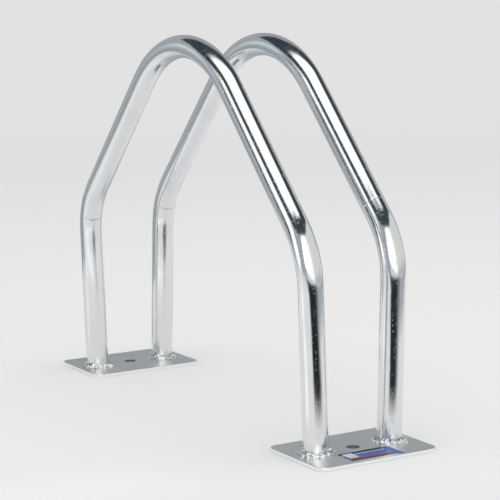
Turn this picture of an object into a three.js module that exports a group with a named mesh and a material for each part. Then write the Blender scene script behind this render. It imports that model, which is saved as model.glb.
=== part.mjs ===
// Hoop bike rack for one wheel: two bent steel tubes side by side, welded to a flat foot plate at each end.
// Millimetres, +Z up. The origin is on the floor, midway between the two plates and the two hoops.
// The front plate, with the label, is at +X. The near hoop is at -Y and the far hoop at +Y.

import * as THREE from 'three';

// Tube
const tubeDiameter = 20;
const tubeWall = 1.5;

// Outline of a hoop, measured on the tube's centreline
const legSpan = 372;
const shoulderHeight = 157;
const slopeAngle = THREE.MathUtils.degToRad(43.5);
const shoulderRadius = 65;
const archRadius = 100;

// A bent tube is narrower in the plane of the bend and wider across it, by these shares
const shoulderFlattening = 0.03;
const archFlattening = 0.05;

// Distance between the two hoops, which lean together towards the feet
const hoopSpacing = 78;
const footSpacing = 69;

// Foot plate
const plateLength = 110;
const plateWidth = 76;
const plateThickness = 3;
const plateCornerRadius = 8;
const plateEdgeBevel = 0.4;
const anchorHoleDiameter = 10;
const ventHoleDiameter = 4;

// Fillet weld round the foot of each leg
const weldLeg = 4.5;
const weldHeight = 4.8;
const weldCrown = 0.7;
const weldClearance = 0.3;
const weldRipples = 11;
const rippleDepth = 0.55;
const sagDepth = 0.5;

// Label stuck on the front plate, between the beads and the plate's long edge
const labelThickness = 0.2;
const labelEdgeInset = 3;
const labelInnerOffset = 12.5;
const labelBeadGap = 2;

// Facets
const tubeSides = 24;
const legSteps = 2;
const shoulderSteps = 9;
const archSteps = 18;
const cornerSteps = 6;
const anchorHoleSides = 32;
const ventHoleSides = 16;
const weldSteps = 44;
const weldFaceSteps = 4;

// Sizes that follow from those above
const tubeRadius = tubeDiameter / 2;
const footX = legSpan / 2;
const archCentreHeight =
  shoulderHeight + (footX * Math.cos(slopeAngle) - archRadius) / Math.sin(slopeAngle);
const weldInnerRadius = tubeRadius + weldClearance;
const weldOuterRadius = weldInnerRadius + weldLeg;

const galvanisedTube = new THREE.MeshStandardMaterial({
  name: 'galvanised_tube',
  color: 0xcfd2d4,
  roughness: 0.22,
  metalness: 1,
});
const galvanisedPlate = new THREE.MeshStandardMaterial({
  name: 'galvanised_plate',
  color: 0xb2b6b9,
  roughness: 0.35,
  metalness: 1,
});
const weldMetal = new THREE.MeshStandardMaterial({
  name: 'weld_metal',
  color: 0xb9bcbe,
  roughness: 0.3,
  metalness: 1,
});
const labelFilm = new THREE.MeshStandardMaterial({
  name: 'label_film',
  color: 0x35559c,
  roughness: 0.3,
  metalness: 0,
});

// Direction of a front leg, from its foot up to the shoulder. side is -1 for the near hoop, +1 for the far one.
function frontLeg(side) {
  const foot = new THREE.Vector3(footX, (side * footSpacing) / 2, plateThickness);
  const shoulder = new THREE.Vector3(footX, (side * hoopSpacing) / 2, shoulderHeight);
  const direction = shoulder.clone().sub(foot).normalize();
  return { foot, shoulder, direction };
}

// Stations along the front half of a hoop, from the foot to the top of the arch.
// Each holds the centreline's point and tangent, and how far the tube is flattened there.
function frontStations(side) {
  const { foot, shoulder, direction: up } = frontLeg(side);
  const slope = new THREE.Vector3(-Math.sin(slopeAngle), 0, Math.cos(slopeAngle));
  const bendAngle = up.angleTo(slope);
  const setback = shoulderRadius * Math.tan(bendAngle / 2);
  const bendStart = shoulder.clone().addScaledVector(up, -setback);
  const inward = slope.clone().addScaledVector(up, -slope.dot(up)).normalize();
  const bendCentre = bendStart.clone().addScaledVector(inward, shoulderRadius);
  const stations = [];

  for (let step = 0; step < legSteps; step++) {
    stations.push({
      point: foot.clone().lerp(bendStart, step / legSteps),
      tangent: up.clone(),
      flattening: 0,
    });
  }

  for (let step = 0; step <= shoulderSteps; step++) {
    const share = step / shoulderSteps;
    const angle = bendAngle * share;
    stations.push({
      point: bendCentre
        .clone()
        .addScaledVector(inward, -shoulderRadius * Math.cos(angle))
        .addScaledVector(up, shoulderRadius * Math.sin(angle)),
      tangent: up.clone().multiplyScalar(Math.cos(angle)).addScaledVector(inward, Math.sin(angle)),
      flattening: shoulderFlattening * Math.sin(Math.PI * share),
    });
  }

  for (let step = 0; step <= archSteps / 2; step++) {
    const share = step / archSteps;
    const angle = slopeAngle + (Math.PI - 2 * slopeAngle) * share;
    stations.push({
      point: new THREE.Vector3(
        archRadius * Math.cos(angle),
        shoulder.y,
        archCentreHeight + archRadius * Math.sin(angle),
      ),
      tangent: new THREE.Vector3(-Math.sin(angle), 0, Math.cos(angle)),
      flattening: archFlattening * Math.sin(Math.PI * share),
    });
  }
  return stations;
}

// The rear half mirrors the front half, and is walked down from the top of the arch.
function hoopStations(side) {
  const front = frontStations(side);
  const rear = front
    .slice(0, -1)
    .reverse()
    .map(({ point, tangent, flattening }) => ({
      point: new THREE.Vector3(-point.x, point.y, point.z),
      tangent: new THREE.Vector3(tangent.x, -tangent.y, -tangent.z),
      flattening,
    }));
  return [...front, ...rear];
}

// Points round the tube at one station. Those at a foot are carried along the leg onto the plate's top face.
function tubeRing({ point, tangent, flattening }, radius, endsOnPlate) {
  const across = new THREE.Vector3(0, 1, 0).addScaledVector(tangent, -tangent.y).normalize();
  const outward = across.clone().cross(tangent);
  const ring = [];
  for (let side = 0; side < tubeSides; side++) {
    const angle = (2 * Math.PI * side) / tubeSides;
    const corner = point
      .clone()
      .addScaledVector(outward, radius * (1 - flattening) * Math.cos(angle))
      .addScaledVector(across, radius * (1 + flattening) * Math.sin(angle));
    if (endsOnPlate) {
      corner.addScaledVector(tangent, (plateThickness - corner.z) / tangent.z);
    }
    ring.push(corner);
  }
  return ring;
}

// Joins rings of equally many points into a closed skin. When the rings close on themselves, the last joins
// the first.
function skin(rings) {
  const sides = rings[0].length;
  const positions = rings.flat().flatMap((point) => point.toArray());
  const indices = [];
  rings.forEach((ring, row) => {
    const nextRow = (row + 1) % rings.length;
    for (let side = 0; side < sides; side++) {
      const nextSide = (side + 1) % sides;
      const a = row * sides + side;
      const b = row * sides + nextSide;
      const c = nextRow * sides + nextSide;
      const d = nextRow * sides + side;
      indices.push(a, b, c, a, c, d);
    }
  });
  const geometry = new THREE.BufferGeometry();
  geometry.setAttribute('position', new THREE.Float32BufferAttribute(positions, 3));
  geometry.setIndex(indices);
  geometry.computeVertexNormals();
  return geometry;
}

// A hollow tube: the outer rings from the front foot to the rear foot, then the bore's rings back again,
// so that the skin closes across the open end at each foot.
function hoop(name, side) {
  const stations = hoopStations(side);
  const last = stations.length - 1;
  const ringsOf = (radius) =>
    stations.map((station, index) => tubeRing(station, radius, index === 0 || index === last));
  const rings = [...ringsOf(tubeRadius), ...ringsOf(tubeRadius - tubeWall).reverse()];
  const mesh = new THREE.Mesh(skin(rings), galvanisedTube);
  mesh.name = name;
  return mesh;
}

function circlePoints(radius, sides, centreX, centreY) {
  return Array.from({ length: sides }, (_, side) => {
    const angle = (2 * Math.PI * side) / sides;
    return new THREE.Vector2(centreX + radius * Math.cos(angle), centreY + radius * Math.sin(angle));
  });
}

// Corner arcs of the plate's outline, anticlockwise from the corner at +X, +Y
function plateOutline() {
  const points = [];
  [[1, 1], [-1, 1], [-1, -1], [1, -1]].forEach(([signX, signY], corner) => {
    const centreX = signX * (plateWidth / 2 - plateCornerRadius);
    const centreY = signY * (plateLength / 2 - plateCornerRadius);
    for (let step = 0; step <= cornerSteps; step++) {
      const angle = (Math.PI / 2) * (corner + step / cornerSteps);
      points.push(new THREE.Vector2(
        centreX + plateCornerRadius * Math.cos(angle),
        centreY + plateCornerRadius * Math.sin(angle),
      ));
    }
  });
  return points;
}

// A sheared steel plate with eased edges, an anchor hole in the middle, and under each leg a vent hole
// that lets the tube's bore drain. end is +1 for the front plate, -1 for the rear one.
function footPlate(name, end) {
  const shape = new THREE.Shape(plateOutline());
  shape.holes.push(new THREE.Path(circlePoints(anchorHoleDiameter / 2, anchorHoleSides, 0, 0)));
  for (const side of [-1, 1]) {
    const vent = circlePoints(ventHoleDiameter / 2, ventHoleSides, 0, (side * footSpacing) / 2);
    shape.holes.push(new THREE.Path(vent));
  }
  const geometry = new THREE.ExtrudeGeometry(shape, {
    depth: plateThickness - 2 * plateEdgeBevel,
    bevelThickness: plateEdgeBevel,
    bevelSize: plateEdgeBevel,
    bevelOffset: -plateEdgeBevel,
    bevelSegments: 1,
  });
  geometry.translate(0, 0, plateEdgeBevel);
  const mesh = new THREE.Mesh(geometry, galvanisedPlate);
  mesh.name = name;
  mesh.position.x = end * footX;
  return mesh;
}

// How far a hand-laid bead stands out at one angle: even ripples, and a slow sag that differs from foot to foot
function beadScale(angle, sagStart) {
  const ripple = Math.abs(Math.sin((weldRipples * angle) / 2)) - 1;
  const sag = Math.sin(2 * angle + sagStart) - 1;
  return 1 + (rippleDepth * ripple + (sagDepth * sag) / 2) / weldLeg;
}

// A fillet weld: a rounded triangle swept round the leg, flat on the plate and clear of the tube by weldClearance.
// It leans with the leg.
function footWeld(name, end, side, sagStart) {
  const { foot, direction } = frontLeg(side);
  const leanY = direction.y / direction.z;
  const rings = [];
  for (let step = 0; step < weldSteps; step++) {
    const angle = (2 * Math.PI * step) / weldSteps;
    const scale = beadScale(angle, sagStart);
    const section = [];
    for (let facet = 0; facet <= weldFaceSteps; facet++) {
      const share = facet / weldFaceSteps;
      const crown = weldCrown * Math.sin(Math.PI * share);
      section.push([
        weldInnerRadius + scale * (weldLeg * share + crown),
        scale * (weldHeight * (1 - share) + crown),
      ]);
    }
    section.push([weldInnerRadius, 0]);
    rings.push(section.map(([radius, height]) => new THREE.Vector3(
      end * foot.x + radius * Math.cos(angle),
      foot.y + radius * Math.sin(angle) + leanY * height,
      foot.z + height,
    )));
  }
  const mesh = new THREE.Mesh(skin(rings), weldMetal);
  mesh.name = name;
  return mesh;
}

// A blank label that runs along the plate as far as it can go between the two beads
function label(name) {
  const width = plateWidth / 2 - labelEdgeInset - labelInnerOffset;
  const reach = weldOuterRadius + labelBeadGap;
  const beadReach = Math.sqrt(Math.max(0, reach ** 2 - labelInnerOffset ** 2));
  const length = footSpacing - 2 * beadReach;
  const mesh = new THREE.Mesh(new THREE.BoxGeometry(width, length, labelThickness), labelFilm);
  mesh.name = name;
  mesh.position.set(footX + labelInnerOffset + width / 2, 0, plateThickness + labelThickness / 2);
  return mesh;
}

const rack = new THREE.Group();
rack.name = 'hoop_bike_rack';
rack.add(hoop('near_hoop', -1));
rack.add(hoop('far_hoop', 1));
rack.add(footPlate('front_plate', 1));
rack.add(footPlate('rear_plate', -1));
rack.add(footWeld('front_near_weld', 1, -1, 0.4));
rack.add(footWeld('front_far_weld', 1, 1, 2.1));
rack.add(footWeld('rear_near_weld', -1, -1, 3.7));
rack.add(footWeld('rear_far_weld', -1, 1, 5.2));
rack.add(label('label'));

export default rack;
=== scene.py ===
# Hoop bike rack: the looks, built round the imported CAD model.
# Metres, +Z up. The front plate, with the label, is at +X, the near hoop at -Y and the far hoop at +Y.
import math

import bmesh
import bpy
from mathutils import Matrix, Vector


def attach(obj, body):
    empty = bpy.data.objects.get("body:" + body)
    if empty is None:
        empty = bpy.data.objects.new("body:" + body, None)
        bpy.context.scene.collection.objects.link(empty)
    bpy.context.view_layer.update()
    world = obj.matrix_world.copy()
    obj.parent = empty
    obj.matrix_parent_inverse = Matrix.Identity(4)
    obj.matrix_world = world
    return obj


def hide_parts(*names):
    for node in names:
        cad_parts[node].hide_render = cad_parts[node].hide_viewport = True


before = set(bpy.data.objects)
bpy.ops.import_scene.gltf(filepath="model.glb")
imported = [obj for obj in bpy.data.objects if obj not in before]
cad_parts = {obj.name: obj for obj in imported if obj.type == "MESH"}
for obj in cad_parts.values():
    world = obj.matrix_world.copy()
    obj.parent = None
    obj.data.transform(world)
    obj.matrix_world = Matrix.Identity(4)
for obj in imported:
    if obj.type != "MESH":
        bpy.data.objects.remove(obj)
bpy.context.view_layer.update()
print("frame loaded:", ", ".join(sorted(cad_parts)))

# The camera stands where the photograph was taken from
cameraPlace = {
    "position": (1.236885, -0.734164, 0.354475),
    "forward": (-0.843267, 0.515611, -0.15181),
    "roll": math.radians(-0.567),
    "lens": 122.57,
    "sensor": 36.0,
    "nearest": 0.05,
}


def newObject(name, data):
    made = bpy.data.objects.new(name, data)
    bpy.context.scene.collection.objects.link(made)
    return made


def makeCamera(place):
    data = bpy.data.cameras.new("photoCamera")
    data.lens = place["lens"]
    data.sensor_width = place["sensor"]
    data.sensor_height = place["sensor"]
    data.sensor_fit = "HORIZONTAL"
    data.clip_start = place["nearest"]
    camera = newObject("photoCamera", data)
    # it looks along forward with its top up, then rolls
    turn = Vector(place["forward"]).to_track_quat("-Z", "Y").to_matrix().to_4x4()
    roll = Matrix.Rotation(place["roll"], 4, "Z")
    camera.matrix_world = Matrix.Translation(place["position"]) @ turn @ roll
    bpy.context.scene.camera = camera


makeCamera(cameraPlace)
print("camera placed")


class Tree:
    # a shader or geometry node tree: node() adds any node and hands back one of its outputs

    def __init__(self, nodeTree):
        self.nodeTree = nodeTree

    def node(self, kind, settings=None, sockets=None, output=0):
        made = self.nodeTree.nodes.new(kind)
        for name, value in (settings or {}).items():
            if name == "stops":
                setStops(made.color_ramp, value)
            elif name == "captures":
                for itemKind, itemName in value:
                    made.capture_items.new(itemKind, itemName)
            else:
                setattr(made, name, value)
        for key, value in (sockets or {}).items():
            if isinstance(value, Wire):
                self.nodeTree.links.new(value.socket, made.inputs[key])
            else:
                made.inputs[key].default_value = value
        return Wire(self, made.outputs[output]) if made.outputs else None

    def vectorMath(self, operation, first, second=None, output=0):
        sockets = {0: first} if second is None else {0: first, 1: second}
        return self.node("ShaderNodeVectorMath", {"operation": operation}, sockets, output)

    def scaled(self, vector, factor):
        return self.node("ShaderNodeVectorMath", {"operation": "SCALE"}, {0: vector, "Scale": factor})

    def dot(self, first, second):
        return self.vectorMath("DOT_PRODUCT", first, second, "Value")

    def combined(self, x, y, z):
        return self.node("ShaderNodeCombineXYZ", None, {0: x, 1: y, 2: z})

    def parts(self, vector):
        split = self.node("ShaderNodeSeparateXYZ", None, {0: vector})
        return split, split.other(1), split.other(2)

    def noise(self, vector, scale, detail=2.0, roughness=0.5):
        return self.node("ShaderNodeTexNoise", None, {
            "Vector": vector, "Scale": scale, "Detail": detail, "Roughness": roughness})

    def mapped(self, value, low, high, smooth=True):
        # 0 at low and before it, 1 at high and past it
        kind = "SMOOTHSTEP" if smooth else "LINEAR"
        return self.node("ShaderNodeMapRange", {"interpolation_type": kind}, {0: value, 1: low, 2: high})

    def between(self, value, low, high, soft):
        # 1 from low to high, with soft edges
        return self.mapped(value, low - soft, low + soft) * self.mapped(value, high + soft, high - soft)

    def mixColour(self, factor, first, second):
        return self.node("ShaderNodeMix", {"data_type": "RGBA"}, {0: factor, 6: first, 7: second}, 2)


class Wire:
    # one output socket; arithmetic on it adds Math nodes

    def __init__(self, tree, socket):
        self.tree = tree
        self.socket = socket

    def other(self, key):
        return Wire(self.tree, self.socket.node.outputs[key])

    def maths(self, operation, *terms, clamp=False):
        return self.tree.node("ShaderNodeMath", {"operation": operation, "use_clamp": clamp},
                              dict(enumerate(terms)))

    def __add__(self, term):
        return self.maths("ADD", self, term)

    def __radd__(self, term):
        return self.maths("ADD", term, self)

    def __sub__(self, term):
        return self.maths("SUBTRACT", self, term)

    def __mul__(self, term):
        return self.maths("MULTIPLY", self, term)

    def __rmul__(self, term):
        return self.maths("MULTIPLY", term, self)

    def __truediv__(self, term):
        return self.maths("DIVIDE", self, term)

    def __pow__(self, term):
        return self.maths("POWER", self, term)

    def atLeast(self, term):
        return self.maths("MAXIMUM", self, term)

    def clamped(self):
        return self.maths("ADD", self, 0.0, clamp=True)

    def sine(self):
        return self.maths("SINE", self)

    def absolute(self):
        return self.maths("ABSOLUTE", self)


def solid(colour):
    # a colour with its alpha
    return (*colour, 1.0)


def setStops(ramp, stops):
    while len(ramp.elements) > 1:
        ramp.elements.remove(ramp.elements[0])
    for index, (place, colour) in enumerate(stops):
        element = ramp.elements[0] if index == 0 else ramp.elements.new(place)
        element.position = place
        element.color = solid(colour)


def emptyTree(owner):
    # the cleared node tree of a material or world
    owner.use_nodes = True
    owner.node_tree.nodes.clear()
    return Tree(owner.node_tree)


def newMaterial(name, constants):
    # a Principled material with its constant sockets set; returns the material, its tree and shader
    material = bpy.data.materials.new(name)
    tree = emptyTree(material)
    shader = tree.node("ShaderNodeBsdfPrincipled", None, constants)
    tree.node("ShaderNodeOutputMaterial", None, {"Surface": shader})
    return material, tree, shader.socket.node


def feed(tree, shaderNode, **wires):
    names = {"colour": "Base Color", "roughness": "Roughness", "normal": "Normal"}
    for key, wire in wires.items():
        tree.nodeTree.links.new(wire.socket, shaderNode.inputs[names[key]])


def bump(tree, height, distance=1.0, normal=None):
    # height times distance is the relief in metres
    sockets = {"Height": height, "Distance": distance}
    if normal is not None:
        sockets["Normal"] = normal
    return tree.node("ShaderNodeBump", None, sockets)


def sparseSpots(tree, place, spots):
    # round spots, 1 at their middle, in a share of the cells of a Voronoi pattern
    cell = tree.node("ShaderNodeTexVoronoi", None, {
        "Vector": place, "Scale": spots["scale"], "Randomness": 1.0}, "Distance")
    pick, variety = tree.parts(cell.other("Color"))[:2]
    chosen = tree.mapped(pick, 1.0 - spots["share"], 1.0 - spots["share"] + 0.01)
    size = spots["radius"] * (0.5 + variety)
    return tree.mapped(cell / size, 1.0, 0.3) * chosen


# Scales are per metre, heights, depths and places in metres, and a cut is the range that a mask rises over
tubeFinish = {
    "colour": (0.80, 0.815, 0.83),
    "tarnishAndShadeColour": (0.42, 0.45, 0.48),
    "roughness": 0.11,
    "grain": {"scale": 900.0, "height": 0.000005, "roughness": 0.04},
    "lines": {"scale": 500.0, "stretch": 0.06, "height": 0.000007},
    "ripple": {"scale": 260.0, "height": 0.000005},
    "patches": {"scale": 35.0, "cut": (0.45, 0.75), "roughness": 0.08, "tarnishAndShade": 0.10},
    "specks": {"scale": 950.0, "share": 0.25, "radius": 0.34, "height": 0.000055},
    "pits": {"scale": 85.0, "share": 0.11, "radius": 0.065, "depth": 0.00018,
             "roughness": 0.3, "tarnishAndShade": 0.55},
    "scratches": {"scale": 1500.0, "stretch": 0.12, "cut": (0.66, 0.74), "patchScale": 48.0,
                  "patchCut": (0.52, 0.62), "height": 0.000035, "roughness": 0.06},
    "crease": {"place": 0.652, "farShift": 0.005, "width": 0.0011, "height": 0.0001,
               "wobble": 0.0024, "wobbleScale": 130.0, "bow": 18.0},
    # the dent's darkening is painted shade in the crease below the rear shoulder
    "dent": {"reach": 0.0014, "full": 0.1, "cut": (0.38, 0.6), "depth": 0.00008, "tarnishAndShade": 0.3},
    "mark": {"place": 0.192, "reach": 0.0007, "full": 0.2, "wobble": 0.6, "height": 0.00006},
    "frost": {"foot": 0.006, "top": 0.034, "uneven": 0.03, "cut": (0.42, 0.62), "roughness": 0.16},
    "lean": {"slope": 0.026, "start": -0.001, "end": 0.004},
}


def makeTubeZinc(look):
    # bright plated zinc on drawn tube: patterns run along the tube on its own unrolled coordinates
    material, tree, shader = newMaterial("tubeZinc", {
        "Metallic": 1.0, "Base Color": solid(look["colour"]), "Roughness": look["roughness"]})
    place = tree.node("ShaderNodeAttribute", {"attribute_name": "tubeSpace"}, None, "Vector")
    across, along = tree.parts(place)[1:]

    def lengthwise(stretch):
        # shortens the place along the tube, so that what is drawn on it comes out long
        return tree.vectorMath("MULTIPLY", place, (1.0, 1.0, stretch))

    def ridge(distance, shape):
        # 1 close to distance 0, and 0 from the shape's reach on
        return tree.mapped((distance / shape["reach"]).absolute(), 1.0, shape["full"])

    grain = tree.noise(place, look["grain"]["scale"])
    lines = tree.noise(lengthwise(look["lines"]["stretch"]), look["lines"]["scale"], detail=3.0)
    ripple = tree.noise(place, look["ripple"]["scale"])
    patches = tree.noise(place, look["patches"]["scale"], detail=3.0)
    specks = sparseSpots(tree, place, look["specks"])
    pits = sparseSpots(tree, place, look["pits"])
    # short scratches: long thin noise, cut off low, in scattered patches
    scratched = look["scratches"]
    thin = tree.noise(lengthwise(scratched["stretch"]), scratched["scale"], detail=1.0)
    scratches = (tree.mapped(thin, *scratched["cut"])
                 * tree.mapped(tree.noise(place, scratched["patchScale"]), *scratched["patchCut"]))
    # the bending die left a step across the tube below the rear shoulder, and a mark on the far hoop
    crease, dentShape, markShape = look["crease"], look["dent"], look["mark"]
    y, z = tree.parts(tree.node("ShaderNodeTexCoord", None, None, "Object"))[1:]
    isFar = tree.mapped(y, 0.0, 0.001)
    wobble = ((tree.noise(place, crease["wobbleScale"]) - 0.5) * crease["wobble"]
              + across * across * crease["bow"])
    pastStep = along + wobble + isFar * crease["farShift"] - crease["place"]
    step = tree.mapped(pastStep, 0.0, crease["width"])
    dent = ridge(pastStep, dentShape) * tree.mapped(patches, *dentShape["cut"])
    mark = ridge(along - markShape["place"] + wobble * markShape["wobble"], markShape) * isFar
    # the plating is frosted by the welds' heat, in patches that fade up the legs
    frosted = look["frost"]
    frost = (tree.mapped(z + (patches - 0.5) * frosted["uneven"], frosted["top"], frosted["foot"])
             * tree.mapped(ripple, *frosted["cut"]))
    height = (grain * look["grain"]["height"] + lines * look["lines"]["height"]
              + ripple * look["ripple"]["height"] + specks * look["specks"]["height"]
              - pits * look["pits"]["depth"] + scratches * scratched["height"]
              + step * crease["height"] - dent * dentShape["depth"] + mark * markShape["height"])
    roughness = (look["roughness"] + (patches - 0.5) * look["patches"]["roughness"]
                 + (grain - 0.5) * look["grain"]["roughness"] + pits * look["pits"]["roughness"]
                 + scratches * scratched["roughness"] + frost * frosted["roughness"])
    # darkening: tarnish in the patches and the pits, and painted shade in the dent at the crease
    tarnishAndShade = (tree.mapped(patches, *look["patches"]["cut"]) * look["patches"]["tarnishAndShade"]
               + pits * look["pits"]["tarnishAndShade"] + dent * dentShape["tarnishAndShade"]).clamped()
    colour = tree.mixColour(tarnishAndShade, solid(look["colour"]), solid(look["tarnishAndShadeColour"]))
    # past the step the rear legs lean out a little, which shows in what they mirror of the floor
    facing = tree.node("ShaderNodeNewGeometry", None, None, "Normal")
    lean = tree.mapped(pastStep, look["lean"]["start"], look["lean"]["end"]) * look["lean"]["slope"]
    tilt = tree.combined(0.0, 0.0, tree.parts(facing)[0] * lean * -1.0)
    leaning = tree.vectorMath("NORMALIZE", tree.vectorMath("ADD", facing, tilt))
    feed(tree, shader, colour=colour, roughness=roughness, normal=bump(tree, height, normal=leaning))
    return material


plateFinish = {
    "colour": (0.89, 0.895, 0.885),
    "wornColour": (0.5, 0.51, 0.51),
    "edgeHighlightColour": (0.97, 0.975, 0.98),
    "holeShadeColour": (0.24, 0.245, 0.24),
    "roughness": 0.30,
    "mottle": {"scale": 60.0, "roughness": 0.12},
    "stains": {"scale": 22.0, "cut": (0.48, 0.68), "worn": 0.24},
    "grain": {"scale": 1100.0, "height": 0.00001},
    "marks": {"scale": 90.0, "share": 0.2, "radius": 0.08, "depth": 0.0001, "roughness": 0.2, "worn": 0.55},
    "edge": {"top": 0.00285, "full": 0.0026, "polish": 0.12},
    "holeShade": {"holeX": 0.186, "reach": 0.0056, "full": 0.0052, "roughness": 0.2},
}


def makePlateZinc(look):
    # satin faces; the edges below the top face are polished, and their lighter colour is a painted highlight
    material, tree, shader = newMaterial("plateZinc", {
        "Metallic": 1.0, "Base Color": solid(look["colour"]), "Roughness": look["roughness"]})
    place = tree.node("ShaderNodeTexCoord", None, None, "Object")
    x, y, z = tree.parts(place)
    mottle = tree.noise(place, look["mottle"]["scale"], detail=4.0)
    stains = tree.noise(place, look["stains"]["scale"], detail=5.0, roughness=0.66)
    grain = tree.noise(place, look["grain"]["scale"])
    marks = sparseSpots(tree, place, look["marks"])
    edge = tree.mapped(z, look["edge"]["top"], look["edge"]["full"])
    # the walls of the anchor hole are coloured dark: painted shade inside the hole
    hole = look["holeShade"]
    fromHole = x.absolute() - hole["holeX"]
    holeShade = tree.mapped((fromHole * fromHole + y * y) ** 0.5, hole["reach"], hole["full"])
    worn = (tree.mapped(stains, *look["stains"]["cut"]) * look["stains"]["worn"]
            + marks * look["marks"]["worn"]).clamped()
    face = tree.mixColour(worn, solid(look["colour"]), solid(look["wornColour"]))
    # a painted highlight: the edges below the top face are coloured lighter
    faceWithEdgeHighlight = tree.mixColour(edge, face, solid(look["edgeHighlightColour"]))
    colour = tree.mixColour(holeShade, faceWithEdgeHighlight, solid(look["holeShadeColour"]))
    roughness = (look["roughness"] + mottle * look["mottle"]["roughness"] - edge * look["edge"]["polish"]
                 + marks * look["marks"]["roughness"] + holeShade * hole["roughness"])
    height = grain * look["grain"]["height"] - marks * look["marks"]["depth"]
    feed(tree, shader, colour=colour, roughness=roughness, normal=bump(tree, height))
    return material


weldFinish = {
    "colour": (0.86, 0.865, 0.86),
    "sootColour": (0.30, 0.31, 0.30),
    "roughness": 0.09,
    "grain": {"scale": 700.0, "height": 0.0001, "roughness": 0.08},
    "soot": {"scale": 260.0, "cut": (0.5, 0.68), "share": 0.6, "roughness": 0.2},
}


def makeWeldZinc(look):
    # plated weld metal: bright, with dull dark patches
    material, tree, shader = newMaterial("weldZinc", {
        "Metallic": 1.0, "Base Color": solid(look["colour"]), "Roughness": look["roughness"]})
    place = tree.node("ShaderNodeTexCoord", None, None, "Object")
    grain = tree.noise(place, look["grain"]["scale"], detail=3.0)
    sooty = tree.noise(place, look["soot"]["scale"], detail=3.0, roughness=0.6)
    soot = tree.mapped(sooty, *look["soot"]["cut"])
    colour = tree.mixColour(soot * look["soot"]["share"], solid(look["colour"]), solid(look["sootColour"]))
    roughness = look["roughness"] + soot * look["soot"]["roughness"] + grain * look["grain"]["roughness"]
    feed(tree, shader, colour=colour, roughness=roughness, normal=bump(tree, grain, look["grain"]["height"]))
    return material


labelSizes = {
    "lowX": 0.1985,
    "highX": 0.221,
    "halfLength": 0.0233,
    "thickness": 0.0002,
    "waveDepth": 0.00004,
    "wave": {"across": 420, "along": 160},
    "swell": {"along": 95, "start": 1.3},
    "columns": 24,
    "rows": 48,
}

labelFinish = {
    "ink": (0.035, 0.04, 0.05),
    "blue": (0.035, 0.125, 0.48),
    "red": (0.55, 0.03, 0.05),
    "pale": (0.62, 0.66, 0.72),
    "roughness": 0.42,
    "specular": 0.18,
    "coat": 0.12,
    "coatRoughness": 0.12,
    # each band across the label and where it ends, from 0 at its inner edge to 1 at its outer one
    "bands": (("ink", 0.22), ("pale", 0.275), ("blue", 0.66), ("red", 0.76), ("ink", 0.96), ("pale", 1.0)),
    "bandSoftness": 0.015,
    "panel": {"along": (-0.0211, -0.0123, 0.0001), "across": (0.1075, 0.6125, 0.0075)},
    "endBlock": (0.0165, 0.0167),
}


def bandStops(look):
    stops = []
    start = 0.0
    for colour, end in look["bands"]:
        stops += [(start, look[colour]), (end, look[colour])]
        start = end + look["bandSoftness"]
    return stops


def makeLabelFilm(look, sizes):
    # a blank printed film: plain bands along it, a plain panel at one end and a plain block at the other
    material, tree, shader = newMaterial("labelFilm", {
        "Roughness": look["roughness"], "Specular IOR Level": look["specular"],
        "Coat Weight": look["coat"], "Coat Roughness": look["coatRoughness"]})
    x, y = tree.parts(tree.node("ShaderNodeTexCoord", None, None, "Object"))[:2]
    across = tree.mapped(x, sizes["lowX"], sizes["highX"], smooth=False)
    bands = tree.node("ShaderNodeValToRGB", {"stops": bandStops(look)}, {0: across})
    panel = tree.between(y, *look["panel"]["along"]) * tree.between(across, *look["panel"]["across"])
    colour = tree.mixColour(panel, bands, solid(look["pale"]))
    endBlock = tree.mapped(y, *look["endBlock"])
    feed(tree, shader, colour=tree.mixColour(endBlock, colour, solid(look["blue"])))
    return material


tubeZinc = makeTubeZinc(tubeFinish)
plateZinc = makePlateZinc(plateFinish)
weldZinc = makeWeldZinc(weldFinish)
labelFilm = makeLabelFilm(labelFinish, labelSizes)
print("materials made")

hoopSizes = {
    "legSpan": 0.372,
    "shoulderHeight": 0.157,
    "slopeAngle": math.radians(43.5),
    "shoulderRadius": 0.065,
    "archRadius": 0.100,
    "hoopSpacing": 0.078,
    "footSpacing": 0.069,
    "plateTop": 0.003,
    "sunkEnd": 0.0006,
    "tubeRadius": 0.010,
    "wall": 0.0015,
    "shoulderFlattening": 0.03,
    "archFlattening": 0.05,
    "waveDepth": 0.00003,
    "waveScale": 70.0,
    "bendEasing": 12,
    "easedFrom": (0.02, 0.04),
    "bendPoints": 300,
    "ringSpacing": 0.00165,
    "sides": 72,
    "mergeDistance": 0.00001,
}


def hoopCorners(sizes, side):
    # the bends' corners from the front foot to the rear one; each end starts a little inside the plate
    footX = sizes["legSpan"] / 2
    y = side * sizes["hoopSpacing"] / 2
    foot = Vector((footX, side * sizes["footSpacing"] / 2, sizes["plateTop"]))
    shoulder = Vector((footX, y, sizes["shoulderHeight"]))
    crown = Vector((0, y, sizes["shoulderHeight"] + footX / math.tan(sizes["slopeAngle"])))
    start = foot - (shoulder - foot).normalized() * sizes["sunkEnd"]
    flip = Vector((-1, 1, 1))
    return [start, shoulder, crown, shoulder * flip, start * flip]


def bendPlaces(sizes, side):
    # where each bend starts and ends, as lengths along the tube
    corners = hoopCorners(sizes, side)
    radii = [sizes["shoulderRadius"], sizes["archRadius"], sizes["shoulderRadius"]]
    along = 0.0
    used = 0.0
    places = []
    for before, corner, after, radius in zip(corners, corners[1:], corners[2:], radii):
        turn = (corner - before).angle(after - corner)
        setback = radius * math.tan(turn / 2)
        along += (corner - before).length - used - setback
        places.append((along, along + radius * turn))
        along += radius * turn
        used = setback
    return places


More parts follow.
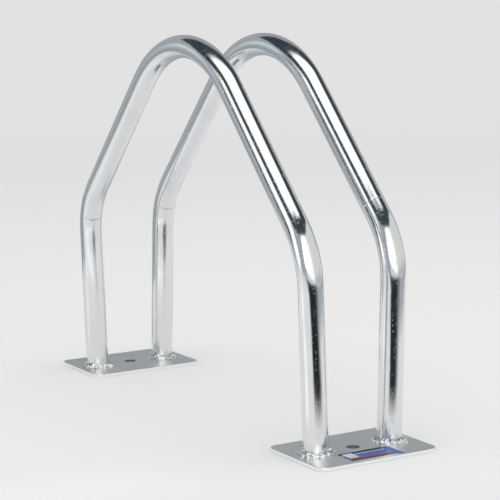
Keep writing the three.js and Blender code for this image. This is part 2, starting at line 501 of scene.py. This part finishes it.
def hoopInputs(sizes, side):
    # the bent tube's inputs and their values
    first, arch, last = bendPlaces(sizes, side)
    return {
        "Shoulder Radius": sizes["shoulderRadius"], "Arch Radius": sizes["archRadius"],
        "Tube Radius": sizes["tubeRadius"], "Wall": sizes["wall"],
        "Ring Spacing": sizes["ringSpacing"], "Sides": sizes["sides"],
        "Shoulder Flattening": sizes["shoulderFlattening"], "Arch Flattening": sizes["archFlattening"],
        "First Bend Start": first[0], "First Bend End": first[1],
        "Arch Start": arch[0], "Arch End": arch[1],
        "Last Bend Start": last[0], "Last Bend End": last[1],
        "Tube Length": last[1] + first[0], "Bend Easing": sizes["bendEasing"],
        "Wave Depth": sizes["waveDepth"], "Wave Scale": sizes["waveScale"],
        "Plate Top": sizes["plateTop"], "Seed": 2.0 + side}


def addInputs(nodeTree, values):
    # named inputs on a geometry tree, of the kind and with the default that each value gives
    kinds = {int: "NodeSocketInt", float: "NodeSocketFloat", tuple: "NodeSocketVector"}
    nodeTree.interface.new_socket("Geometry", in_out="INPUT", socket_type="NodeSocketGeometry")
    for name, value in values.items():
        made = nodeTree.interface.new_socket(name, in_out="INPUT", socket_type=kinds[type(value)])
        made.default_value = value
    nodeTree.interface.new_socket("Geometry", in_out="OUTPUT", socket_type="NodeSocketGeometry")
    start = nodeTree.nodes.new("NodeGroupInput")
    tree = Tree(nodeTree)
    return tree, {socket.name: Wire(tree, socket) for socket in start.outputs if socket.name}


def endTree(tree, geometry, material):
    smooth = tree.node("GeometryNodeSetShadeSmooth", None, {"Geometry": geometry})
    realized = tree.node("GeometryNodeRealizeInstances", None, {"Geometry": smooth})
    finished = tree.node("GeometryNodeSetMaterial", None, {"Geometry": realized, "Material": material})
    tree.node("NodeGroupOutput", None, {0: finished})


def seatOn(tree, geometry, height):
    # what reaches below the height is lifted to it
    x, y, z = tree.parts(tree.node("GeometryNodeInputPosition"))
    return tree.node("GeometryNodeSetPosition", None, {
        "Geometry": geometry, "Position": tree.combined(x, y, z.atLeast(height))})


def makeHoopTree(material, sizes, inputs):
    nodeTree = bpy.data.node_groups.new("bentTube", "GeometryNodeTree")
    tree, wires = addInputs(nodeTree, inputs)
    index = tree.node("GeometryNodeInputIndex")
    isCrown = tree.node("FunctionNodeCompare", {"data_type": "INT", "operation": "EQUAL"}, {2: index, 3: 2})
    radius = tree.node("GeometryNodeSwitch", {"input_type": "FLOAT"}, {
        0: isCrown, 1: wires["Shoulder Radius"], 2: wires["Arch Radius"]})
    bent = tree.node("GeometryNodeFilletCurve", {"mode": "POLY"}, {
        "Curve": wires["Geometry"], "Count": sizes["bendPoints"], "Radius": radius})
    even = tree.node("GeometryNodeResampleCurve", {"mode": "LENGTH"}, {
        "Curve": bent, "Length": wires["Ring Spacing"]})
    # bent tube eases into its bends: the path is smoothed, but for its ends
    station = tree.node("GeometryNodeSplineParameter", None, None, "Length")
    held, free = sizes["easedFrom"]
    fromEnds = (tree.mapped(station, held, free)
                * tree.mapped(station, wires["Tube Length"] - held, wires["Tube Length"] - free))
    eased = tree.node("GeometryNodeBlurAttribute", {"data_type": "FLOAT_VECTOR"}, {
        "Value": tree.node("GeometryNodeInputPosition"), "Iterations": wires["Bend Easing"],
        "Weight": fromEnds})
    path = tree.node("GeometryNodeSetPosition", None, {"Geometry": even, "Position": eased})
    # the tube's own directions: along it, across its plane and outwards in its plane
    tangent = tree.node("GeometryNodeInputTangent")
    acrossAxis = (0.0, 1.0, 0.0)
    lean = tree.scaled(tangent, tree.dot(tangent, acrossAxis))
    across = tree.vectorMath("NORMALIZE", tree.vectorMath("SUBTRACT", acrossAxis, lean))
    length = tree.node("GeometryNodeSplineParameter", None, None, "Length")
    turned = tree.node("GeometryNodeSetCurveNormal", {"mode": "FREE"}, {"Curve": path, "Normal": across})
    kept = tree.node("GeometryNodeCaptureAttribute", {"captures": [
        ("VECTOR", "Across"), ("VECTOR", "Tangent"), ("FLOAT", "Length")]}, {
        "Geometry": turned, 1: across, 2: tangent, 3: length})
    section = tree.node("GeometryNodeCurvePrimitiveCircle", None, {
        "Resolution": wires["Sides"], "Radius": wires["Tube Radius"]})
    skin = tree.node("GeometryNodeCurveToMesh", None, {"Curve": kept, "Profile Curve": section})
    normal = tree.node("GeometryNodeInputNormal")
    outward = tree.vectorMath("CROSS_PRODUCT", kept.other(1), kept.other(2))
    sideways = tree.dot(normal, kept.other(1))
    along = kept.other(3)
    unrolled = tree.combined(tree.dot(normal, outward) * wires["Tube Radius"],
                             sideways * wires["Tube Radius"], along)
    marked = tree.node("GeometryNodeStoreNamedAttribute", {"data_type": "FLOAT_VECTOR", "domain": "POINT"}, {
        "Geometry": skin, "Name": "tubeSpace", 3: unrolled})

    def flattening(bend, amount):
        # 0 outside a bend, rising to the amount at its middle
        share = tree.mapped(along, wires[bend + " Start"], wires[bend + " End"], smooth=False)
        return (share * math.pi).sine() * wires[amount]

    # bends flatten the section; a slow wave keeps the surface from being a perfect cylinder
    flattened = (flattening("First Bend", "Shoulder Flattening")
                 + flattening("Last Bend", "Shoulder Flattening")
                 + flattening("Arch", "Arch Flattening"))
    oval = flattened * wires["Tube Radius"] * (sideways * sideways * 2.0 - 1.0)
    wavePlace = tree.vectorMath("ADD", unrolled, tree.combined(wires["Seed"], wires["Seed"], wires["Seed"]))
    wave = (tree.noise(wavePlace, wires["Wave Scale"]) - 0.5) * 2.0 * wires["Wave Depth"]
    shaped = tree.node("GeometryNodeSetPosition", None, {
        "Geometry": marked, "Offset": tree.scaled(normal, oval + wave)})
    # the inner wall: the outer skin pushed in and turned round, joined to it at the open ends
    pushed = tree.node("GeometryNodeExtrudeMesh", {"mode": "FACES"}, {
        "Mesh": shaped, "Offset Scale": wires["Wall"] * -1.0, "Individual": False})
    inner = tree.node("GeometryNodeFlipFaces", None, {"Mesh": pushed})
    both = tree.node("GeometryNodeJoinGeometry", None, {"Geometry": shaped})
    nodeTree.links.new(inner.socket, both.socket.node.inputs[0])
    whole = tree.node("GeometryNodeMergeByDistance", None, {
        "Geometry": both, "Distance": sizes["mergeDistance"]})
    # the feet end flat on the plate
    endTree(tree, seatOn(tree, whole, wires["Plate Top"]), material)
    return nodeTree


def applyTree(name, base, nodeTree, values):
    # runs a geometry tree on an object and keeps the result as a plain mesh
    modifier = base.modifiers.new("shape", "NODES")
    modifier.node_group = nodeTree
    identifiers = {item.name: item.identifier for item in nodeTree.interface.items_tree
                   if item.in_out == "INPUT"}
    for key, value in values.items():
        modifier[identifiers[key]] = value
    bpy.context.view_layer.update()
    ready = base.evaluated_get(bpy.context.evaluated_depsgraph_get())
    mesh = bpy.data.meshes.new_from_object(ready)
    mesh.name = name
    piece = newObject(name, mesh)
    bpy.data.objects.remove(base)
    return piece


def cornerCurve(name, corners):
    data = bpy.data.curves.new(name, "CURVE")
    data.dimensions = "3D"
    spline = data.splines.new("POLY")
    spline.points.add(len(corners) - 1)
    for point, corner in zip(spline.points, corners):
        point.co = (*corner, 1.0)
    return newObject(name, data)


def finishPiece(piece, replacedNode):
    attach(piece, "root")
    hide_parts(replacedNode)


hoopTree = makeHoopTree(tubeZinc, hoopSizes, hoopInputs(hoopSizes, 1))
for name, side, node in (("nearHoopTube", -1, "near_hoop"), ("farHoopTube", 1, "far_hoop")):
    path = cornerCurve(name + "Path", hoopCorners(hoopSizes, side))
    finishPiece(applyTree(name, path, hoopTree, hoopInputs(hoopSizes, side)), node)
print("hoops bent")

plateSizes = {
    "length": 0.110,
    "width": 0.076,
    "thickness": 0.003,
    "cornerRadius": 0.008,
    "cornerSteps": 16,
    "edgeRadius": 0.0005,
    "edgeSteps": 4,
    "anchorHole": 0.010,
    "anchorSides": 64,
    "ventHole": 0.004,
    "ventSides": 32,
}
sharpAngle = math.radians(35)


def outlinePoints(sizes, inset):
    # the plate's outline anticlockwise, drawn in by inset
    points = []
    radius = sizes["cornerRadius"] - inset
    for corner, (signX, signY) in enumerate(((1, 1), (-1, 1), (-1, -1), (1, -1))):
        centreX = signX * (sizes["width"] / 2 - sizes["cornerRadius"])
        centreY = signY * (sizes["length"] / 2 - sizes["cornerRadius"])
        for step in range(sizes["cornerSteps"] + 1):
            angle = math.pi / 2 * (corner + step / sizes["cornerSteps"])
            points.append((centreX + radius * math.cos(angle), centreY + radius * math.sin(angle)))
    return points


def holePoints(radius, sides, centreY, inset):
    turn = 2 * math.pi / sides
    return [((radius + inset) * math.cos(turn * step), centreY + (radius + inset) * math.sin(turn * step))
            for step in range(sides)]


def edgeProfile(sizes):
    # rounded edge from the top face down to the bottom face: how far in, and how high
    radius = sizes["edgeRadius"]
    angles = [math.pi / 2 * step / sizes["edgeSteps"] for step in range(sizes["edgeSteps"] + 1)]
    top = [(radius * (1 - math.sin(angle)), sizes["thickness"] - radius * (1 - math.cos(angle)))
           for angle in angles]
    bottom = [(inset, sizes["thickness"] - height) for inset, height in reversed(top)]
    return top + bottom


def pieceFromShape(name, shape, material):
    # a bmesh made an object: faces outwards, smooth but for its sharp edges
    bmesh.ops.recalc_face_normals(shape, faces=shape.faces)
    mesh = bpy.data.meshes.new(name)
    shape.to_mesh(mesh)
    shape.free()
    mesh.materials.append(material)
    mesh.shade_smooth()
    mesh.set_sharp_from_angle(angle=sharpAngle)
    return newObject(name, mesh)


def makePlate(name, end, sizes, footSpacing, legSpan, material):
    shape = bmesh.new()
    centreX = end * legSpan / 2
    loops = [lambda inset: outlinePoints(sizes, inset),
             lambda inset: holePoints(sizes["anchorHole"] / 2, sizes["anchorSides"], 0.0, inset)]
    for side in (-1, 1):
        loops.append(lambda inset, y=side * footSpacing / 2:
                     holePoints(sizes["ventHole"] / 2, sizes["ventSides"], y, inset))
    faceEdges = {0: [], 1: []}
    for loopIndex, loop in enumerate(loops):
        rings = []
        for inset, height in edgeProfile(sizes):
            rings.append([shape.verts.new((centreX + x, y, height)) for x, y in loop(inset)])
        count = len(rings[0])
        for upper, lower in zip(rings, rings[1:]):
            for step in range(count):
                following = (step + 1) % count
                corners = (upper[step], lower[step], lower[following], upper[following])
                shape.faces.new(corners if loopIndex == 0 else corners[::-1])
        for side, ring in ((0, rings[0]), (1, rings[-1])):
            for step in range(count):
                faceEdges[side].append(shape.edges.get((ring[step], ring[(step + 1) % count])))
    for side in (0, 1):
        bmesh.ops.triangle_fill(shape, edges=faceEdges[side], use_beauty=True,
                                normal=(0, 0, 1 if side == 0 else -1))
    return pieceFromShape(name, shape, material)


for name, end, node in (("frontFootPlate", 1, "front_plate"), ("rearFootPlate", -1, "rear_plate")):
    plate = makePlate(name, end, plateSizes, hoopSizes["footSpacing"], hoopSizes["legSpan"], plateZinc)
    finishPiece(plate, node)
print("plates cut")

# A row of lumps lies so far outwards of the ring and strays between low and high; its sizes are shares of
# the full lump. The runs lie low outside the ring, and the climbs stand against the tube.
weldSizes = {
    "ringRadius": 0.0113,
    "ringHeight": 0.0038,
    "lumpRadius": 0.0031,
    "rows": {
        "Lumps": {"count": 12, "outwards": 0.0, "low": (-0.0010, -0.0010, -0.0012),
                  "high": (0.0010, 0.0010, 0.0014), "sizes": (0.5, 0.95), "seedStep": 0.0},
        "Runs": {"count": 9, "outwards": 0.0021, "low": (-0.0013, -0.0013, -0.0020),
                 "high": (0.0013, 0.0013, -0.0004), "sizes": (0.35, 0.85), "seedStep": 20.0},
        "Climbs": {"count": 7, "outwards": -0.0009, "low": (-0.0004, -0.0004, 0.0005),
                   "high": (0.0004, 0.0004, 0.0030), "sizes": (0.30, 0.62), "seedStep": 40.0},
    },
    "sizeSeedStep": 7.0,
    "filletRadius": 0.0028,
    "filletSteps": 64,
    "filletSides": 16,
    "voxel": 0.00035,
    "band": 0.003,
    "roughDepth": 0.0007,
    "roughScale": 420.0,
    "crumpleScale": 240.0,
    "crumpleShare": 4.0,
}


def weldInputs(sizes, centre, seed):
    # the weld bead's inputs and their values
    counts = {name: row["count"] for name, row in sizes["rows"].items()}
    return {
        **counts, "Ring Radius": sizes["ringRadius"], "Lump Radius": sizes["lumpRadius"],
        "Fillet Radius": sizes["filletRadius"], "Voxel": sizes["voxel"], "Rough Depth": sizes["roughDepth"],
        "Plate Top": hoopSizes["plateTop"], "Centre": centre, "Seed": seed}


def makeWeldTree(material, sizes, inputs):
    # rows of lumps on a ring round the foot, fused into one skin with a low fillet
    nodeTree = bpy.data.node_groups.new("weldBead", "GeometryNodeTree")
    tree, wires = addInputs(nodeTree, inputs)
    ball = tree.node("GeometryNodeMeshIcoSphere", None, {"Radius": wires["Lump Radius"], "Subdivisions": 3})

    def lumpRow(name, row):
        ring = tree.node("GeometryNodeMeshCircle", None, {
            "Vertices": wires[name], "Radius": wires["Ring Radius"] + row["outwards"]})
        jitter = tree.node("FunctionNodeRandomValue", {"data_type": "FLOAT_VECTOR"}, {
            0: row["low"], 1: row["high"], "Seed": wires["Seed"] + row["seedStep"]})
        loose = tree.node("GeometryNodeSetPosition", None, {"Geometry": ring, "Offset": jitter})
        small, large = row["sizes"]
        size = tree.node("FunctionNodeRandomValue", {"data_type": "FLOAT"}, {
            2: small, 3: large, "Seed": wires["Seed"] + (row["seedStep"] + sizes["sizeSeedStep"])}, 1)
        balls = tree.node("GeometryNodeInstanceOnPoints", None, {
            "Points": loose, "Instance": ball, "Scale": size})
        return tree.node("GeometryNodeRealizeInstances", None, {"Geometry": balls})

    lumpRows = [lumpRow(name, row) for name, row in sizes["rows"].items()]
    ringPath = tree.node("GeometryNodeCurvePrimitiveCircle", None, {
        "Resolution": sizes["filletSteps"], "Radius": wires["Ring Radius"]})
    section = tree.node("GeometryNodeCurvePrimitiveCircle", None, {
        "Resolution": sizes["filletSides"], "Radius": wires["Fillet Radius"]})
    fillet = tree.node("GeometryNodeCurveToMesh", None, {"Curve": ringPath, "Profile Curve": section})
    heap = tree.node("GeometryNodeJoinGeometry", None, {"Geometry": lumpRows[0]})
    for part in (*lumpRows[1:], fillet):
        nodeTree.links.new(part.socket, heap.socket.node.inputs[0])
    volume = tree.node("GeometryNodeMeshToVolume", {"resolution_mode": "VOXEL_SIZE"}, {
        "Mesh": heap, "Voxel Size": wires["Voxel"], "Interior Band Width": sizes["band"]})
    fused = tree.node("GeometryNodeVolumeToMesh", {"resolution_mode": "VOXEL_SIZE"}, {
        "Volume": volume, "Voxel Size": wires["Voxel"], "Threshold": 0.1})
    shifted = tree.vectorMath("ADD", tree.node("GeometryNodeInputPosition"), wires["Centre"])
    fine = tree.noise(shifted, sizes["roughScale"], detail=3.0, roughness=0.6) - 0.5
    coarse = tree.noise(shifted, sizes["crumpleScale"], detail=1.0) - 0.5
    rough = fine * wires["Rough Depth"] + coarse * wires["Rough Depth"] * sizes["crumpleShare"]
    worn = tree.node("GeometryNodeSetPosition", None, {
        "Geometry": fused, "Position": shifted,
        "Offset": tree.scaled(tree.node("GeometryNodeInputNormal"), rough)})
    endTree(tree, seatOn(tree, worn, wires["Plate Top"]), material)
    return nodeTree


footX = hoopSizes["legSpan"] / 2
footY = hoopSizes["footSpacing"] / 2
beads = {
    "frontNearBead": {"side": (1, -1), "node": "front_near_weld", "seed": 3},
    "frontFarBead": {"side": (1, 1), "node": "front_far_weld", "seed": 5},
    "rearNearBead": {"side": (-1, -1), "node": "rear_near_weld", "seed": 8},
    "rearFarBead": {"side": (-1, 1), "node": "rear_far_weld", "seed": 13},
}
defaults = weldInputs(weldSizes, (footX, footY, weldSizes["ringHeight"]), 1)
weldTree = makeWeldTree(weldZinc, weldSizes, defaults)
for name, bead in beads.items():
    signX, signY = bead["side"]
    centre = (signX * footX, signY * footY, weldSizes["ringHeight"])
    base = newObject(name + "Base", bpy.data.meshes.new(name + "Base"))
    piece = applyTree(name, base, weldTree, weldInputs(weldSizes, centre, bead["seed"]))
    print(name, len(piece.data.polygons), "faces")
    finishPiece(piece, bead["node"])
print("beads laid")


def makeLabel(name, sizes, plateTop, material):
    # a thin film that follows the plate, very slightly wavy
    shape = bmesh.new()
    columns, rows = sizes["columns"], sizes["rows"]
    ripple, swell = sizes["wave"], sizes["swell"]
    grid = []
    for row in range(rows + 1):
        line = []
        for column in range(columns + 1):
            x = sizes["lowX"] + (sizes["highX"] - sizes["lowX"]) * column / columns
            y = sizes["halfLength"] * (2 * row / rows - 1)
            wave = (sizes["waveDepth"] * math.sin(ripple["across"] * x + ripple["along"] * y)
                    * math.sin(swell["along"] * y + swell["start"]))
            line.append(shape.verts.new((x, y, plateTop + sizes["thickness"] + wave)))
        grid.append(line)
    for row in range(rows):
        for column in range(columns):
            shape.faces.new((grid[row][column], grid[row][column + 1],
                             grid[row + 1][column + 1], grid[row + 1][column]))
    made = bmesh.ops.extrude_face_region(shape, geom=shape.faces[:])
    for vertex in [item for item in made["geom"] if isinstance(item, bmesh.types.BMVert)]:
        vertex.co.z = plateTop
    return pieceFromShape(name, shape, material)


finishPiece(makeLabel("plateLabel", labelSizes, hoopSizes["plateTop"], labelFilm), "label")
print("label stuck on")

# The studio: a pale floor, an even world, one soft lamp overhead, and cards that only the metal mirrors.
# A sky card has two edges of points, as (azimuth, elevation) in degrees seen from the rack. A flat card
# has two edges of points at one height, overhead or just above the floor. A fade is given as shares of
# the card: at the start and end of the edges, then at the first and second edge.
darkTint = (0.8, 1.0, 1.08)
ringTint = (0.72, 1.0, 1.2)
blueTint = (0.89, 1.0, 1.11)
coolTint = (0.915, 1.0, 1.047)
plainTint = (1.0, 1.0, 1.0)
studio = {
    "lightLevel": 0.72,
    "seenLevel": 0.76,
    "floor": {"colour": (0.9, 0.9, 0.9), "roughness": 0.9, "reach": 60.0, "fadeFrom": 0.6, "fadeTo": 3.5},
    "lamp": {"level": 1.3, "width": 1.9, "length": 3.9, "place": (0.4, 0.1, 3.2), "turn": math.radians(-20)},
    "eye": (0.0, 0.0, 0.2),
    "skySteps": 66,
    "flatSteps": 24,
    "skyCards": [
        {"name": "frontSoftbox", "first": ((-59, 9), (-40, 5), (-20, 1), (19, -3)),
         "second": ((-54, 24), (-41, 41), (-27, 48), (19, 51)), "distance": 2.6, "level": 1.6,
         "tint": plainTint, "fade": (0.08, 0.28, 0.07, 0.07)},
        {"name": "darkLine", "first": ((-139.5, -9), (-128, 3), (-126, 12), (-122, 24)),
         "second": ((-127, -9), (-117.5, 3), (-116, 12), (-113.5, 24)), "distance": 2.5, "level": 0.015,
         "tint": darkTint, "fade": (0.05, 0.2, 0.3, 0.3)},
        {"name": "leftSoftbox",
         "first": ((-134, -9), (-126.5, -2.5), (-118.5, 4), (-114, 12), (-113, 18), (-111.5, 40)),
         "second": ((-89, -9), (-88.5, -2.5), (-88, 4), (-88, 12), (-88.5, 18), (-91.5, 40)),
         "distance": 2.6, "level": 1.3, "tint": plainTint, "fade": (0.05, 0.05, 0.08, 0.1)},
        {"name": "rearGlow", "first": ((-164, -4), (-127, -4)), "second": ((-161, 27), (-132, 26)),
         "distance": 4.0, "level": 0.74, "tint": coolTint, "fade": (0.45, 0.45, 0.4, 0.45)},
        {"name": "darkRing",
         "first": ((-180, 34), (-168, 33), (-152, 33), (-138, 26), (-124, 28), (-110, 34), (-96, 39),
                   (-82, 36), (-70, 37), (-58, 39), (-45, 43), (-30, 46), (0, 47), (30, 48), (60, 45),
                   (75, 39), (90, 30), (106, 25), (118, 25), (134, 44), (150, 48), (165, 41), (180, 34)),
         "second": ((-180, 88), (180, 88)), "distance": 4.6, "level": 0.056, "tint": ringTint,
         "fade": (0.0001, 0.0001, 0.08, 0.01)},
        {"name": "leftGreyCard", "first": ((-96, -4), (-50, -4)), "second": ((-96, 42), (-46, 42)),
         "distance": 4.8, "level": 0.42, "tint": coolTint, "fade": (0.05, 0.12, 0.05, 0.05)},
        {"name": "rearGreyCard", "first": ((-192, -6), (-126, -6)), "second": ((-192, 50), (-120, 50)),
         "distance": 4.9, "level": 0.425, "tint": coolTint, "fade": (0.05, 0.06, 0.02, 0.02)},
        {"name": "rightGreyCard", "first": ((101, -6), (170, -6)), "second": ((104, 52), (170, 52)),
         "distance": 5.0, "level": 0.38, "tint": coolTint, "fade": (0.1, 0.05, 0.02, 0.02)},
        {"name": "lowGreyCard", "first": ((6, -4), (82, -4)), "second": ((6, 9), (82, 9)),
         "distance": 4.8, "level": 0.53, "tint": coolTint, "fade": (0.2, 0.25, 0.02, 0.85)},
    ],
    # the flat cards just above the floor are painted light and shade of the floor, seen only in the metal's
    # reflections: the bright patches are painted pools of light, the dark, grey and blue ones painted shade
    "flatCards": [
        {"name": "overheadSoftbox",
         "first": ((0.70, -2.32), (1.08, -1.50), (1.18, -0.80), (1.23, -0.20), (1.26, 0.30), (1.25, 0.75),
                   (1.13, 1.32), (0.70, 2.18)),
         "second": ((-1.77, -2.00), (-0.07, 2.35)), "height": 3.2, "level": 1.6, "tint": plainTint,
         "fade": (0.13, 0.2, 0.055, 0.35)},
        {"name": "frontDarkPatch",
         "first": ((0.24, -0.085), (0.40, -0.235), (0.50, -0.40), (0.86, -1.75), (1.6, -5.3)),
         "second": ((0.26, 0.08), (0.42, 0.23), (0.60, 0.34), (1.9, 1.20), (5.5, 3.3)), "height": 0.002,
         "level": 0.022, "tint": darkTint, "fade": (0.24, 0.05, 0.2, 0.45)},
        {"name": "rightGreyPatch", "first": ((0.60, 0.12), (3.0, 0.6)), "second": ((0.20, 0.56), (0.3, 4.0)),
         "height": 0.0012, "level": 0.46, "tint": coolTint, "fade": (0.1, 0.1, 0.1, 0.2)},
        {"name": "frontBrightPatch",
         "first": ((0.145, -0.09), (0.06, -0.29), (-0.11, -0.40), (-0.40, -0.58)),
         "second": ((0.215, -0.11), (0.235, -0.33), (0.13, -0.57), (0.0, -0.85)), "height": 0.0012,
         "level": 1.15, "tint": plainTint, "fade": (0.15, 0.2, 0.45, 0.45)},
        {"name": "rearBrightPatch",
         "first": ((-0.31, -0.08), (-0.35, -0.29), (-0.32, -0.5), (-0.27, -0.68)),
         "second": ((-0.165, -0.10), (-0.15, -0.30), (-0.08, -0.5), (0.0, -0.65)), "height": 0.0014,
         "level": 0.96, "tint": plainTint, "fade": (0.15, 0.2, 0.45, 0.45)},
        {"name": "rearGreyPatch",
         "first": ((-0.30, -0.46), (-0.56, -0.37), (-0.63, -0.03), (-0.54, 0.45)),
         "second": ((-1.9, -2.9), (-3.2, -2.2), (-3.6, 0.0), (-3.2, 2.4)), "height": 0.0016,
         "level": 0.4, "tint": coolTint, "fade": (0.06, 0.1, 0.03, 0.05)},
        {"name": "behindGreyPatch", "first": ((0.45, 1.05), (-0.7, 1.05)),
         "second": ((1.6, 5.0), (-3.5, 5.0)), "height": 0.0018,
         "level": 0.45, "tint": coolTint, "fade": (0.1, 0.1, 0.04, 0.05)},
        {"name": "rearBluePatch", "first": ((-0.22, -0.12), (-0.5, -0.25), (-1.4, -0.6)),
         "second": ((-0.22, 0.22), (-0.5, 0.55), (-1.4, 1.1)), "height": 0.001,
         "level": 0.45, "tint": blueTint, "fade": (0.2, 0.2, 0.45, 0.3)},
    ],
}


def direction(azimuth, elevation):
    azimuth, elevation = math.radians(azimuth), math.radians(elevation)
    return Vector((math.cos(elevation) * math.cos(azimuth), math.cos(elevation) * math.sin(azimuth),
                   math.sin(elevation)))


def cardMaterial(card):
    # plain light of one level that fades out towards the card's edges
    material = bpy.data.materials.new(card["name"])
    tree = emptyTree(material)
    u, v = tree.parts(tree.node("ShaderNodeTexCoord", None, None, "UV"))[:2]
    start, end, first, second = card["fade"]
    shown = (tree.mapped(u, 0.0, start) * tree.mapped(u, 1.0, 1.0 - end)
             * tree.mapped(v, 0.0, first) * tree.mapped(v, 1.0, 1.0 - second))
    glow = tree.node("ShaderNodeEmission", None, {"Color": solid(card["tint"]), "Strength": card["level"]})
    clear = tree.node("ShaderNodeBsdfTransparent")
    mixed = tree.node("ShaderNodeMixShader", None, {0: shown, 1: clear, 2: glow})
    tree.node("ShaderNodeOutputMaterial", None, {"Surface": mixed})
    return material


def addCard(card, place, steps):
    # a card only the metal sees; place gives the point at shares of the way along and over it
    mesh = bpy.data.meshes.new(card["name"])
    side = steps + 1
    shares = [(column / steps, row / steps) for row in range(side) for column in range(side)]
    faces = [(row * side + column, row * side + column + 1, (row + 1) * side + column + 1,
              (row + 1) * side + column) for row in range(steps) for column in range(steps)]
    mesh.from_pydata([place(along, over) for along, over in shares], [], faces)
    layer = mesh.uv_layers.new(name="UVMap")
    for loop in mesh.loops:
        layer.data[loop.index].uv = shares[loop.vertex_index]
    mesh.materials.append(cardMaterial(card))
    made = newObject(card["name"], mesh)
    made.visible_camera = False
    made.visible_diffuse = False
    made.visible_shadow = False


def edgePoint(edge, share):
    # the point a share of the way along an edge, each step of the edge counting the same
    place = share * (len(edge) - 1)
    step = min(int(place), len(edge) - 2)
    return Vector(edge[step]).lerp(Vector(edge[step + 1]), place - step)


def acrossCard(card, along, over):
    # the pair of numbers at shares of the way along the card's edges and over from the first to the second
    return edgePoint(card["first"], along).lerp(edgePoint(card["second"], along), over)


def addSkyCard(card, eye, steps):
    def place(along, over):
        return Vector(eye) + direction(*acrossCard(card, along, over)) * card["distance"]
    addCard(card, place, steps)


def addFlatCard(card, steps):
    def place(along, over):
        return Vector((*acrossCard(card, along, over), card["height"]))
    addCard(card, place, steps)


def addLamp(sizes):
    # it lights the floor and the label; the metal mirrors the overhead softbox in its stead
    lamp = bpy.data.lights.new("overheadLamp", "AREA")
    lamp.shape = "RECTANGLE"
    lamp.size = sizes["width"]
    lamp.size_y = sizes["length"]
    lamp.energy = sizes["level"] * math.pi * sizes["width"] * sizes["length"]
    made = newObject("overheadLamp", lamp)
    made.matrix_world = Matrix.Translation(sizes["place"]) @ Matrix.Rotation(sizes["turn"], 4, "Z")
    made.visible_glossy = False
    made.visible_camera = False


def seenRays(tree):
    # 1 for what the camera and the metal see, 0 for what lights the object
    ray = tree.node("ShaderNodeLightPath", None, None, "Is Camera Ray")
    return ray.atLeast(ray.other("Is Glossy Ray")).atLeast(ray.other("Is Transmission Ray"))


def makeFloor(sizes, seenLevel):
    # matt and pale near the rack; further off, what the camera and the metal see of it turns one pale tone
    material = bpy.data.materials.new("paleFloor")
    tree = emptyTree(material)
    matt = tree.node("ShaderNodeBsdfPrincipled", None, {
        "Base Color": solid(sizes["colour"]), "Roughness": sizes["roughness"]})
    x, y = tree.parts(tree.node("ShaderNodeTexCoord", None, None, "Object"))[:2]
    far = tree.mapped((x * x + y * y) ** 0.5, sizes["fadeFrom"], sizes["fadeTo"])
    pale = tree.node("ShaderNodeEmission", None, {"Color": solid(plainTint), "Strength": seenLevel})
    mixed = tree.node("ShaderNodeMixShader", None, {0: far * seenRays(tree), 1: matt, 2: pale})
    tree.node("ShaderNodeOutputMaterial", None, {"Surface": mixed})
    mesh = bpy.data.meshes.new("floor")
    reach = sizes["reach"]
    mesh.from_pydata([(-reach, -reach, 0), (reach, -reach, 0), (reach, reach, 0), (-reach, reach, 0)],
                     [], [(0, 1, 2, 3)])
    mesh.materials.append(material)
    newObject("floor", mesh)


def makeWorld(lightLevel, seenLevel):
    # even light; the camera and the metal see it as pale as the far floor
    world = bpy.data.worlds.new("studioWorld")
    bpy.context.scene.world = world
    tree = emptyTree(world)
    strength = lightLevel + seenRays(tree) * (seenLevel - lightLevel)
    glow = tree.node("ShaderNodeBackground", None, {"Color": solid(plainTint), "Strength": strength})
    tree.node("ShaderNodeOutputWorld", None, {"Surface": glow})


makeFloor(studio["floor"], studio["seenLevel"])
makeWorld(studio["lightLevel"], studio["seenLevel"])
addLamp(studio["lamp"])
for card in studio["skyCards"]:
    addSkyCard(card, studio["eye"], studio["skySteps"])
for card in studio["flatCards"]:
    addFlatCard(card, studio["flatSteps"])
print("studio set")

bpy.context.scene.view_settings.view_transform = "Standard"
